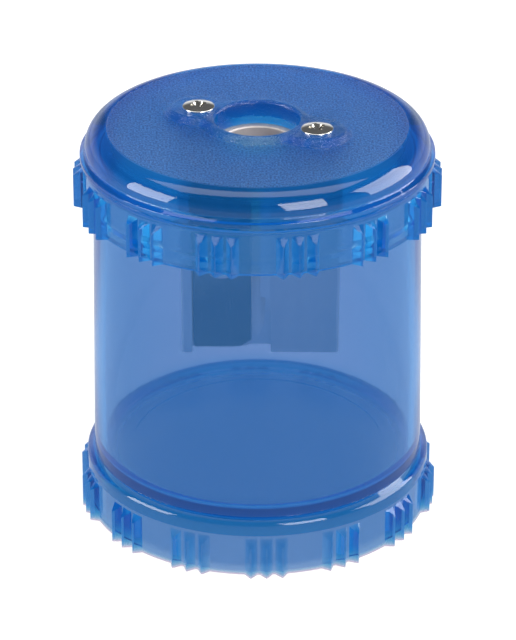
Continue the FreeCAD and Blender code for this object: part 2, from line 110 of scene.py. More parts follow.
class ContainerSizes(bpy.types.PropertyGroup):
    """The cup that catches the shavings."""

    foot_radius: length("Foot radius", 20.3, "Outer radius of the foot skirt between its ribs")
    foot_wall: length("Foot wall", 1.4, "Thickness of the foot skirt")
    rib_top: length("Rib top", 4.7, "Height of the foot ribs at the wall")
    tube_low_radius: length("Tube radius, low", 19.45, "Outer radius of the tube at the floor")
    tube_high_radius: length("Tube radius, high", 18.97, "Outer radius of the tube at its rim")
    wall: length("Wall", 1.15, "Thickness of the tube")
    floor_top: length("Floor", 7.2, "Height of the floor's upper face")
    floor_under: length("Floor underside", 5.9, "Height of the floor's lower face")
    floor_fillet: length("Floor fillet", 1.9, "Radius between the floor and the wall")
    bevel_drop: length("Bevel drop", 0.65, "How far the foot's bevel would come down if it were sharp")
    bevel_round: length("Bevel round", 0.75, "Radius of the foot's rounded bevel")
    foot_edge: length("Foot edge", 0.12, "Chamfer inside the foot's lower edge")
    under_round: length("Under round", 0.7, "Radius between the foot skirt and the floor's underside")
    rim_round: length("Rim round", 0.25, "Radius of the rim's two edges")
    ring_radius: length("Ring radius", 14.8, "Radius of the faint ring sunk into the floor")
    ring_depth: length("Ring depth", 0.06, "How deep the ring is sunk")
    frost_radius: length("Frost radius", 17.0, "How far out the floor's underside is frosted")
    snap_height: length("Snap bead height", 40.2, "Height of the bead that the lid clips over")
    snap_proud: length("Snap bead", 0.16, "How far the bead stands out of the tube")


class LidSizes(bpy.types.PropertyGroup):
    """The lid that carries the metal sharpener."""

    disc_radius: length("Disc radius", 17.25, "Radius of the grained disc")
    disc_drop: length("Disc drop", 0.8, "Height of the raised pad above the disc")
    disc_step: length("Disc step", 0.004, "How far the disc lies below the shoulder's edge")
    plate: length("Plate", 1.55, "Thickness of the lid under the disc")
    shoulder_radius: length("Shoulder radius", 19.9, "Outer radius at the foot of the rounded shoulder")
    shoulder_round: length("Shoulder round", 2.5, "Radius of the shoulder's rounding")
    bead_radius: length("Bead radius", 20.47, "Radius of the thin bead under the shoulder")
    skirt_radius: length("Skirt radius", 20.2, "Outer radius of the skirt between its ribs")
    skirt_bore: length("Skirt bore", 19.35, "Inner radius of the skirt")
    ledge_radius: length("Ledge radius", 17.75, "Inner radius of the ledge over the container's rim")
    hole_radius: length("Hole radius", 4.87, "Radius of the hole that the pencil passes")
    pad_radius: length("Pad radius", 6.1, "Radius of the raised pad round the hole")
    lobe_radius: length("Lobe radius", 3.75, "Radius of the pad round each screw")
    pad_foot: length("Pad foot", 0.5, "How far the pad's soft foot spreads past its outline")
    pad_round: length("Pad round", 0.75, "How far inside its outline the pad reaches its full height")
    boss_drop: length("Boss", 0.5, "How far the boss under the plate comes down")
    pad_end: length("Pad end", 12.2, "Radius inside which the disc and the plate make room for the pad")
    hole_edge: length("Hole edge", 0.42, "Width of the flat edge round the hole")
    rib_height: length("Rib height", 4.6, "Height of the lid's ribs at the wall, from its lower edge")
    ledge_height: length("Ledge height", 43.4, "Height of the ledge over the container's rim")
    bead_low: length("Bead bottom", 44.3, "Height of the bead's lower edge")
    bead_width: length("Bead width", 0.5, "Height of the bead's flat side")
    bead_lead: length("Bead lead", 0.35, "Height over which the skirt swells to the bead")
    bead_back: length("Bead back", 0.4, "Height over which the bead falls back to the shoulder")
    groove_half: length("Groove", 0.75, "Half the height of the groove for the container's bead")
    groove_deep: length("Groove depth", 0.22, "How far the groove is sunk into the skirt")
    lead_in: length("Lead-in", 0.25, "Chamfer inside the skirt's lower edge")


class ScrewSizes(bpy.types.PropertyGroup):
    """The holes that the lid's two countersunk screws sink into."""

    head_radius: length("Head radius", 1.86, "Radius of the head")
    crown: length("Crown", 0.3, "Rise of the head's top")
    head_cone: length("Head cone", 1.0, "Height of the head's taper")
    land: length("Land", 0.12, "Height of the head's straight edge")
    shank_radius: length("Shank radius", 0.95, "Radius of the shank")
    head_play: length("Head play", 0.06, "Gap round the head")
    shank_play: length("Shank play", 0.15, "Gap round the shank")
    hole_low: length("Hole bottom", 44.0, "Height from which the holes are cut upwards")
    axis_gap: length("Axis gap", 0.2, "How near the cutter's outline comes to its axis")


class Finishes(bpy.types.PropertyGroup):
    """Colours and clearness of each material."""

    plastic_tint: colour("Plastic tint", (0.05, 0.69, 0.9), "What thick clear plastic lets through")
    plastic_depth: bpy.props.FloatProperty(
        name="Plastic depth", description="How fast the plastic takes its colour, per metre", default=1000.0)
    plastic_face: colour("Plastic face", (1.0, 0.53, 0.55), "What even the thinnest plastic takes away")
    # Painted glow: the plastic's emission colour, which makes it shine faintly by itself.
    plastic_painted_glow: colour("Plastic haze", (0.0, 0.04, 0.105), "The faint veil that the plastic glows with")
    # Painted shade: a darker, deeper blue multiplied into the base colour of the lid's shoulder and the
    # foot's bevel, where the deep mark is set.
    plastic_painted_shade: colour("Plastic deep", (0.02, 0.35, 0.6), "What the thick rounded rims take away besides")
    magnesium: colour("Magnesium", (1.0, 0.98, 0.98), "Machined metal body")
    # Painted shade: the top of the metal body, under the lid, is coloured darker and warmer.
    entry: colour("Entry", (0.7, 0.63, 0.59), "How much duller the metal is round the pencil's entry")
    # Darker metal on the front of the flank, past +X 1.3 mm.
    flank: colour("Flank", (0.87, 0.86, 0.86), "How much duller the metal is on the flank")
    # Painted shade: the blade's steel, coloured far darker and bluer than bare steel.
    steel_painted_dark: colour("Steel", (0.17, 0.25, 0.31), "Blade")
    nickel: colour("Nickel", (0.78, 0.76, 0.72), "Plated screws")
    floor: factor("Floor", 0.25, "How pale the studio floor is")
    floor_glow: factor("Floor glow", 0.85, "How much the studio floor shines by itself")
    frost_floor: factor("Frost, floor", 0.8, "Frosting under the container's floor")
    frost_skirt: factor("Frost, foot skirt", 0.3, "Frosting inside the foot skirt")
    frost_plate: factor("Frost, plate", 0.6, "Frosting under the lid's plate and boss")
    frost_bore: factor("Frost, bores", 0.25, "Frosting inside the lid's skirt and its hole")
    frost_pad: factor("Frost, pad", 0.4, "Frosting on the raised pad")
    grain_least: factor("Least grain", 0.12, "Grain left on the disc right beside the pad")
    entry_painted_shade_from: length("Entry, from", 42.0, "Height where the entry's duller metal begins")
    entry_painted_shade_full: length("Entry, full", 43.0, "Height where it is fully dull")
    flank_side: length("Flank, from the side", 1.3, "Place along +X where the flank's duller metal begins")
    flank_side_full: length("Flank, side full", 1.6, "Place along +X where it is fully dull")
    flank_front: length("Flank, from the front", -0.5, "Place along Y where the flank's duller metal begins")
    flank_front_full: length("Flank, front full", -1.0, "Place along Y where it is fully dull")


class StudioSettings(bpy.types.PropertyGroup):
    """Camera placement and lens."""

    distance: length("Distance", 430.0, "Camera's distance from the sharpener's middle")
    middle: length("Middle", 24.0, "Height of the sharpener's middle")
    elevation: angle("Elevation", 26.7, "How far the camera looks down")
    aim_height: length("Aim height", 22.76, "Height of the point that the camera looks at")
    aim_side: length("Aim side", 0.06, "Sideways place of that point")
    lens: bpy.props.FloatProperty(name="Lens", description="Focal length in millimetres", default=205.6)


# ---------------------------------------------------------------- outlines and surfaces

def rounded(corners, steps=7):
    """Points along an outline whose corners are rounded.

    Each corner is (r, z, radius).  At a corner the two straight runs are joined by the circular arc tangent
    to both: it starts at radius / tan(half the corner's angle) from the corner, and is sampled in equal
    angles.
    """
    places = np.array([corner[:2] for corner in corners], float)
    out = [places[:1]]
    for i in range(1, len(corners) - 1):
        radius = corners[i][2]
        if radius <= 0:
            out.append(places[i:i + 1])
            continue
        back = places[i - 1] - places[i]
        ahead = places[i + 1] - places[i]
        back /= np.linalg.norm(back)
        ahead /= np.linalg.norm(ahead)
        half = math.acos(float(np.clip(back @ ahead, -1, 1))) / 2
        middle = back + ahead
        centre = places[i] + middle / np.linalg.norm(middle) * radius / math.sin(half)
        start = places[i] + back * radius / math.tan(half)
        end = places[i] + ahead * radius / math.tan(half)
        first = start - centre
        sweep = math.atan2(
            first[0] * (end - centre)[1] - first[1] * (end - centre)[0], float(first @ (end - centre)))
        turn = np.linspace(0, sweep, max(2, steps if radius < 1 * MM else 3 * steps))[:, None]
        across = np.array([-first[1], first[0]])
        out.append(centre + first * np.cos(turn) + across * np.sin(turn))
    out.append(places[-1:])
    return np.vstack(out)


def rib_columns(ribs, turn, wall_radius):
    """Angles of the surface's columns round the axis, and how proud the ribs stand at each (0 to 1).

    A rib is a V in plan, softened at its tip: its height falls from 1 at the middle to 0 at the wall as
    sqrt(1 + e^2) - sqrt(t^2 + e^2), where t is the place across it from -1 to 1.  Columns crowd towards the
    tip as sinh of even steps.
    """
    across = np.sinh(np.linspace(-RIB_CROWDING, RIB_CROWDING, RIB_COLUMNS)) / math.sinh(RIB_CROWDING)
    soft = ribs.tip_round
    proud = (math.sqrt(1 + soft ** 2) - np.sqrt(across ** 2 + soft ** 2)) / (math.sqrt(1 + soft ** 2) - soft)
    half = ribs.width / 2 / wall_radius
    step = 2 * math.pi / ribs.groups
    middle = (np.arange(ribs.per_group) - (ribs.per_group - 1) / 2) * ribs.pitch
    group = (middle[:, None] + across[None, :] * half).ravel()
    gap = np.linspace(group[-1], group[0] + step, GAP_COLUMNS + 2)[1:-1]
    one = np.concatenate([group, gap])
    height = np.concatenate([np.tile(proud, ribs.per_group), np.zeros(len(gap))])
    angles = turn + np.arange(ribs.groups)[:, None] * step + one[None, :]
    return angles.ravel(), np.tile(height, ribs.groups)


def ringed(outline, columns):
    """An outline's (r, z) points carried round the axis unchanged: the same r and z in every column."""
    return (np.repeat(outline[:, :1], columns, 1), np.repeat(outline[:, 1:], columns, 1))


def ribbed_band(wall_radius, tip_radius, low, wall_top, slope, proud, upright=5, top=4):
    """The outer face of a ribbed band, row by row upwards.

    Up the band r stays wall + proud * (tip - wall), and z runs from the lower edge to
    wall_top - proud * slope.  From there each column runs straight in to the wall, which makes the ribs'
    sloping top faces.
    """
    r = wall_radius + proud * (tip_radius - wall_radius)
    z = wall_top - proud * slope
    share = np.linspace(0, 1, upright)[:, None]
    side_r = np.repeat(r[None, :], upright, 0)
    side_z = low + share * (z - low)[None, :]
    back = np.linspace(0, 1, top)[1:, None]
    end_z = wall_top + BAND_END
    top_r = r[None, :] + back * (wall_radius - r)[None, :]
    top_z = z[None, :] + back * (end_z - z)[None, :]
    return np.vstack([side_r, top_r]), np.vstack([side_z, top_z])


def stack(blocks):
    """Blocks of rows, one above the other, dropping a row that repeats the one before it."""
    rows_r = [blocks[0][0]]
    rows_z = [blocks[0][1]]
    for r, z in blocks[1:]:
        same = np.allclose(r[0], rows_r[-1][-1]) and np.allclose(z[0], rows_z[-1][-1])
        rows_r.append(r[1:] if same else r)
        rows_z.append(z[1:] if same else z)
    return np.vstack(rows_r), np.vstack(rows_z)


def turned_points(r, z, angles):
    """Rows of (r, z) at the given angles from the front: x = r sin a, y = -r cos a."""
    return np.stack([r * np.sin(angles), -r * np.cos(angles), z], -1)


def grid_faces(rows, columns, loop):
    """Four-cornered faces of a grid whose columns close on themselves, and its rows too for a loop."""
    j = np.arange(columns)
    last = rows if loop else rows - 1
    i = np.arange(last)[:, None]
    nxt = (i + 1) % rows
    here = i * columns + j
    return np.stack([
        here, i * columns + (j + 1) % columns, nxt * columns + (j + 1) % columns, nxt * columns + j,
    ], -1).reshape(-1, 4)


def add_piece(name, points, loop=False, marks=None):
    """A closed mesh from a grid of points (rows, columns, 3).

    With loop the rows close on themselves like a ring.  Otherwise the first and last rows are each closed by
    a fan to their middle.  Faces are turned outwards by the sign of the volume they enclose.  Marks are
    named values from 0 to 1 at every point, for the materials to read.
    """
    rows, columns = points.shape[:2]
    places = points.reshape(-1, 3)
    faces = grid_faces(rows, columns, loop).tolist()
    extra = []
    if not loop:
        for row, flip in [(0, False), (rows - 1, True)]:
            middle = len(places) + len(extra)
            extra.append(points[row].mean(0))
            j = np.arange(columns)
            a = row * columns + j
            b = row * columns + (j + 1) % columns
            fan = np.stack([a, b, np.full(columns, middle)] if flip else [b, a, np.full(columns, middle)], -1)
            faces += fan.tolist()
        places = np.vstack([places, extra])
    mesh = bpy.data.meshes.new(name)
    mesh.from_pydata(places.tolist(), [], faces)
    for label, values in (marks or {}).items():
        layer = mesh.attributes.new(label, "FLOAT", "POINT")
        middles = [values[0, 0], values[-1, 0]][:len(extra)]
        layer.data.foreach_set("value", np.concatenate([values.ravel(), middles]).astype(np.float32))
    if enclosed(mesh) < 0:
        mesh.flip_normals()
    mesh.shade_smooth()
    mesh.set_sharp_from_angle(angle=math.radians(CREASE))
    mesh.validate()
    piece = bpy.data.objects.new(name, mesh)
    bpy.context.scene.collection.objects.link(piece)
    return piece


def enclosed(mesh):
    """The volume inside a closed mesh: a sixth of the sum of a . (b x c) over its triangles."""
    mesh.calc_loop_triangles()
    corners = np.empty(len(mesh.loop_triangles) * 3, np.int32)
    mesh.loop_triangles.foreach_get("vertices", corners)
    places = np.empty(len(mesh.vertices) * 3, np.float32)
    mesh.vertices.foreach_get("co", places)
    a, b, c = places.reshape(-1, 3).astype(float)[corners.reshape(-1, 3)].transpose(1, 0, 2)
    return float((a * np.cross(b, c)).sum() / 6)


def smooth_step(value):
    """0 below 0, 1 above 1, and 3t^2 - 2t^3 between."""
    t = np.clip(value, 0, 1)
    return t * t * (3 - 2 * t)


# ---------------------------------------------------------------- materials

def fresh_material(name):
    """An empty node material, its tree and its output node."""
    material = bpy.data.materials.new(name)
    material.use_nodes = True
    tree = material.node_tree
    tree.nodes.clear()
    return material, tree, tree.nodes.new("ShaderNodeOutputMaterial")


def put(tree, kind, settings=None, **values):
    """A node with its settings, and its inputs set by name (underscores for spaces) or joined to a socket."""
    made = tree.nodes.new(kind)
    for key, value in (settings or {}).items():
        setattr(made, key, value)
    for key, value in values.items():
        socket = made.inputs[key.replace("_", " ")]
        if isinstance(value, bpy.types.NodeSocket):
            tree.links.new(value, socket)
        else:
            socket.default_value = value
    return made


def sums(tree, operation, a, b):
    """A Math node over two values or sockets."""
    made = tree.nodes.new("ShaderNodeMath")
    made.operation = operation
    for socket, value in zip(made.inputs, (a, b)):
        if isinstance(value, bpy.types.NodeSocket):
            tree.links.new(value, socket)
        else:
            socket.default_value = value
    return made.outputs[0]


def effect_group(name, inputs, outputs):
    """A node group with float inputs (name, default) and float outputs, and its two end nodes."""
    tree = bpy.data.node_groups.new(name, "ShaderNodeTree")
    for label, value in inputs:
        socket = tree.interface.new_socket(name=label, in_out="INPUT", socket_type="NodeSocketFloat")
        socket.default_value = value
    for label in outputs:
        tree.interface.new_socket(name=label, in_out="OUTPUT", socket_type="NodeSocketFloat")
    return tree, tree.nodes.new("NodeGroupInput"), tree.nodes.new("NodeGroupOutput")


def handled_surface():
    """Group: slow patches of roughness from hands and moulding, and a few hairline scratches."""
    tree, given, result = effect_group(
        "Handled Surface",
        [("Patch Scale", 160.0), ("Smooth", 0.02), ("Dull", 0.07), ("Scratch", 0.05)],
        ["Roughness", "Height"])
    where = tree.nodes.new("ShaderNodeTexCoord").outputs["Object"]
    patches = put(tree, "ShaderNodeTexNoise", None, Vector=where, Scale=given.outputs["Patch Scale"],
                  Detail=5.0, Roughness=0.6)
    spread = put(tree, "ShaderNodeMapRange", None, Value=patches.outputs[0], From_Min=0.35, From_Max=0.7,
                 To_Min=given.outputs["Smooth"], To_Max=given.outputs["Dull"])
    lines = put(tree, "ShaderNodeMapping", {"vector_type": "POINT"}, Vector=where,
                Rotation=(0.5, 0.3, 0.9), Scale=(2600.0, 60.0, 260.0))
    scratch = put(tree, "ShaderNodeTexNoise", None, Vector=lines.outputs[0], Scale=1.0, Detail=2.0)
    hair = put(tree, "ShaderNodeMapRange", None, Value=scratch.outputs[0], From_Min=0.70, From_Max=0.78,
               To_Min=0.0, To_Max=1.0)
    scratched = sums(tree, "MULTIPLY", hair.outputs[0], given.outputs["Scratch"])
    tree.links.new(sums(tree, "ADD", spread.outputs[0], scratched), result.inputs["Roughness"])
    tree.links.new(sums(tree, "MULTIPLY", hair.outputs[0], -1.0), result.inputs["Height"])
    return tree


def tool_streaks():
    """Group: fine parallel marks left by milling or grinding, along one of the piece's own axes."""
    tree, given, result = effect_group(
        "Tool Streaks",
        [("Across X", 300.0), ("Across Y", 300.0), ("Across Z", 4000.0), ("Smooth", 0.2), ("Dull", 0.45)],
        ["Roughness", "Height", "Shade"])
    where = tree.nodes.new("ShaderNodeTexCoord").outputs["Object"]
    stretch = put(tree, "ShaderNodeCombineXYZ", None, X=given.outputs["Across X"],
                  Y=given.outputs["Across Y"], Z=given.outputs["Across Z"])
    spread = put(tree, "ShaderNodeVectorMath", {"operation": "MULTIPLY"})
    tree.links.new(where, spread.inputs[0])
    tree.links.new(stretch.outputs[0], spread.inputs[1])
    marks = put(tree, "ShaderNodeTexNoise", None, Vector=spread.outputs[0], Scale=1.0, Detail=6.0,
                Roughness=0.7)
    rough = put(tree, "ShaderNodeMapRange", None, Value=marks.outputs[0], From_Min=0.3, From_Max=0.7,
                To_Min=given.outputs["Smooth"], To_Max=given.outputs["Dull"])
    tree.links.new(rough.outputs[0], result.inputs["Roughness"])
    tree.links.new(marks.outputs[0], result.inputs["Height"])
    tree.links.new(marks.outputs[0], result.inputs["Shade"])
    return tree


def grouped(tree, group, **values):
    """A group node with its inputs set by name."""
    made = tree.nodes.new("ShaderNodeGroup")
    made.node_tree = group
    for key, value in values.items():
        made.inputs[key.replace("_", " ")].default_value = value
    return made


def clear_plastic(name, finishes, life, grained):
    """Clear tinted plastic with a faint painted glow, frosted where the piece says so, coloured darker as
    painted shade where the piece's deep mark is set, and with an etched mould's grain if asked.
    """
    frosting = 0.45
    pit_depth = 0.26 * MM
    pale, dark = 1.85, 0.45
    material, tree, output = fresh_material(name)
    hands = grouped(tree, life, Patch_Scale=140.0, Smooth=0.02, Dull=0.06, Scratch=0.04)
    # The emission here is a painted glow: the plastic shines faintly by itself.
    shader = put(tree, "ShaderNodeBsdfPrincipled", None, Base_Color=(*finishes.plastic_face, 1.0), IOR=1.42,
                 Transmission_Weight=1.0, Emission_Color=(*finishes.plastic_painted_glow, 1.0), Emission_Strength=1.0)
    bump = put(tree, "ShaderNodeBump", None, Strength=0.05, Distance=0.02 * MM,
               Height=hands.outputs["Height"])
    frost = put(tree, "ShaderNodeAttribute", {"attribute_name": "frost"}).outputs["Fac"]
    # Painted shade: where the deep mark is set, the base colour is multiplied by a darker, deeper blue.
    deep = put(tree, "ShaderNodeMix", {"data_type": "RGBA", "blend_type": "MULTIPLY"})
    thick = put(tree, "ShaderNodeAttribute", {"attribute_name": "deep"}).outputs["Fac"]
    tree.links.new(thick, deep.inputs[0])
    deep.inputs[6].default_value = (*finishes.plastic_face, 1.0)
    deep.inputs[7].default_value = (*finishes.plastic_painted_shade, 1.0)
    rough = sums(tree, "ADD", hands.outputs["Roughness"], sums(tree, "MULTIPLY", frost, frosting))
    normal = bump.outputs[0]
    if grained:
        where = tree.nodes.new("ShaderNodeTexCoord").outputs["Object"]
        mask = put(tree, "ShaderNodeAttribute", {"attribute_name": "grain"}).outputs["Fac"]
        pits = put(tree, "ShaderNodeTexNoise", None, Vector=where, Scale=4400.0, Detail=1.0, Roughness=0.5)
        spread = put(tree, "ShaderNodeMapRange", None, Value=pits.outputs[0], From_Min=0.38, From_Max=0.62,
                     To_Min=0.0, To_Max=1.0)
        pitted = sums(tree, "MULTIPLY", sums(tree, "SUBTRACT", spread.outputs[0], 0.5), mask)
        patchy = sums(tree, "ADD", pitted, 0.5)
        etched = put(tree, "ShaderNodeBump", None, Strength=1.0, Distance=pit_depth, Normal=normal,
                     Height=pitted)
        normal = etched.outputs[0]
        speckle = put(tree, "ShaderNodeMix", {"data_type": "RGBA", "blend_type": "MIX"})
        tree.links.new(patchy, speckle.inputs[0])
        speckle.inputs[6].default_value = (*[min(1.0, c * pale) for c in finishes.plastic_face], 1.0)
        speckle.inputs[7].default_value = (*[c * dark for c in finishes.plastic_face], 1.0)
        tree.links.new(speckle.outputs[2], deep.inputs[6])
    tree.links.new(deep.outputs[2], shader.inputs["Base Color"])
    tree.links.new(rough, shader.inputs["Roughness"])
    tree.links.new(normal, shader.inputs["Normal"])
    tree.links.new(shader.outputs[0], output.inputs["Surface"])
    depth = put(tree, "ShaderNodeVolumeAbsorption", None, Color=(*finishes.plastic_tint, 1.0),
                Density=finishes.plastic_depth)
    tree.links.new(depth.outputs[0], output.inputs["Volume"])
    return material


def worked_metal(name, tint, streaks, across, smooth, dull, depth, contrast, metallic=1.0, places=()):
    """Metal with tool marks: their shade, roughness and relief all follow the same streaks.

    Each of places is (limits, colour): the colour multiplies in where every limit, (axis, start, full), is
    passed.
    """
    material, tree, output = fresh_material(name)
    marks = grouped(tree, streaks, Across_X=across[0], Across_Y=across[1], Across_Z=across[2],
                    Smooth=smooth, Dull=dull)
    shade = put(tree, "ShaderNodeMix", {"data_type": "RGBA", "blend_type": "MIX"})
    tree.links.new(marks.outputs["Shade"], shade.inputs[0])
    shade.inputs[6].default_value = (*[c * (1 - contrast) for c in tint], 1.0)
    shade.inputs[7].default_value = (*[min(1.0, c * (1 + contrast)) for c in tint], 1.0)
    if places:
        where = tree.nodes.new("ShaderNodeTexCoord").outputs["Object"]
        spot = put(tree, "ShaderNodeSeparateXYZ", None, Vector=where)
    for limits, other in places:
        reach = 1.0
        for axis, start, full in limits:
            ramp = put(tree, "ShaderNodeMapRange", None, Value=spot.outputs[axis], From_Min=start,
                       From_Max=full, To_Min=0.0, To_Max=1.0)
            reach = sums(tree, "MULTIPLY", ramp.outputs[0], reach)
        blend = put(tree, "ShaderNodeMix", {"data_type": "RGBA", "blend_type": "MULTIPLY"})
        tree.links.new(reach, blend.inputs[0])
        tree.links.new(shade.outputs[2], blend.inputs[6])
        blend.inputs[7].default_value = (*other, 1.0)
        shade = blend
    bump = put(tree, "ShaderNodeBump", None, Strength=0.35, Distance=depth, Height=marks.outputs["Height"])
    shader = put(tree, "ShaderNodeBsdfPrincipled", None, Metallic=metallic, Base_Color=shade.outputs[2],
                 Roughness=marks.outputs["Roughness"], Normal=bump.outputs[0])
    tree.links.new(shader.outputs[0], output.inputs["Surface"])
    return material


def wear(piece, material):
    """Give every material slot of a piece the same material."""
    slots = piece.data.materials
    if not len(slots):
        slots.append(material)
    for i in range(len(slots)):
        slots[i] = material


# ---------------------------------------------------------------- pieces

class SHARPENER_OT_container(bpy.types.Operator):
    """Make the clear container: tube, floor and ribbed foot in one moulding."""

    bl_idname = "sharpener.container"
    bl_label = "Container"

    def execute(self, context):
        sizes = context.scene.sharpener_container
        ribs = context.scene.sharpener_ribs
        finishes = context.scene.sharpener_finishes
        angles, proud = rib_columns(ribs, ribs.foot_turn, sizes.foot_radius)
        columns = len(angles)
        rim = CONTAINER_HIGH.z
        tip = max(CONTAINER_HIGH.x, -CONTAINER_LOW.x)
        inner_foot = sizes.foot_radius - sizes.foot_wall
        frost_end = sizes.frost_radius
        # Heights where the painted shade on the foot's bevel fades in.
        painted_shade_low = sizes.rib_top + 0.38 * MM
        painted_shade_full = sizes.rib_top + 0.46 * MM
        middle = 20.0 * MM
        edge = 0.05 * MM

        def outer(z):
            """Radius of the tapered tube at a height."""
            share = (z - sizes.floor_top) / (rim - sizes.floor_top)
            return sizes.tube_low_radius + share * (sizes.tube_high_radius - sizes.tube_low_radius)

        under = rounded([
            (HUB, sizes.floor_under, 0),
            (sizes.ring_radius, sizes.floor_under, 0),
            (frost_end - 0.1 * MM, sizes.floor_under, 0),
            (frost_end + 0.3 * MM, sizes.floor_under, 0),
            (inner_foot, sizes.floor_under, sizes.under_round),
            (inner_foot, sizes.foot_edge, 0),
            (inner_foot + sizes.foot_edge, 0, 0),
            (sizes.foot_radius, 0, 0),
        ])
        band = ribbed_band(sizes.foot_radius, tip, 0, sizes.rib_top, ribs.slope, proud)
        snap = sizes.snap_height
        half = 0.5 * MM
        tube = rounded([
            (sizes.foot_radius, sizes.rib_top + BAND_END, 0),
            (sizes.foot_radius, painted_shade_low, 0),
            (sizes.foot_radius, painted_shade_full, 0),
            (sizes.foot_radius, sizes.floor_top - sizes.bevel_drop, sizes.bevel_round),
            (sizes.tube_low_radius, sizes.floor_top, edge),
            (outer(sizes.floor_top + 1 * MM), sizes.floor_top + 1 * MM, 0),
            (outer(snap - half), snap - half, 0.2 * MM),
            (outer(snap) + sizes.snap_proud, snap, 0.4 * MM),
            (outer(snap + half), snap + half, 0.2 * MM),
            (sizes.tube_high_radius, rim, sizes.rim_round),
            (sizes.tube_high_radius - sizes.wall, rim, sizes.rim_round),
            (outer(middle) - sizes.wall, middle, 0),
            (outer(sizes.floor_top) - sizes.wall, sizes.floor_top, sizes.floor_fillet),
            (sizes.ring_radius + 0.1 * MM, sizes.floor_top, edge),
            (sizes.ring_radius, sizes.floor_top - sizes.ring_depth, edge),
            (HUB, sizes.floor_top - sizes.ring_depth, 0),
        ])
        r, z = stack([ringed(under, columns), band, ringed(tube, columns)])
        floor_face = (np.abs(z - sizes.floor_under) < SMALL) & (r < frost_end)
        skirt_face = (np.abs(r - inner_foot) < SMALL) & (z < sizes.floor_under)
        frost = np.where(floor_face, finishes.frost_floor, np.where(skirt_face, finishes.frost_skirt, 0.0))
        outside = r > sizes.tube_low_radius + edge
        # Painted shade: the foot's rounded bevel band gets the deep mark and is coloured darker.
        bevel = outside & (z > (painted_shade_low + painted_shade_full) / 2) & (z < sizes.floor_top + edge)
        piece = add_piece("container_shell", turned_points(r, z, angles),
                          marks={"frost": frost, "deep": bevel * 1.0})
        wear(piece, clear_plastic(
            "clear_blue_polished", finishes, bpy.data.node_groups["Handled Surface"], False))
        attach(piece, "container")
        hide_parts("container")
        return {"FINISHED"}


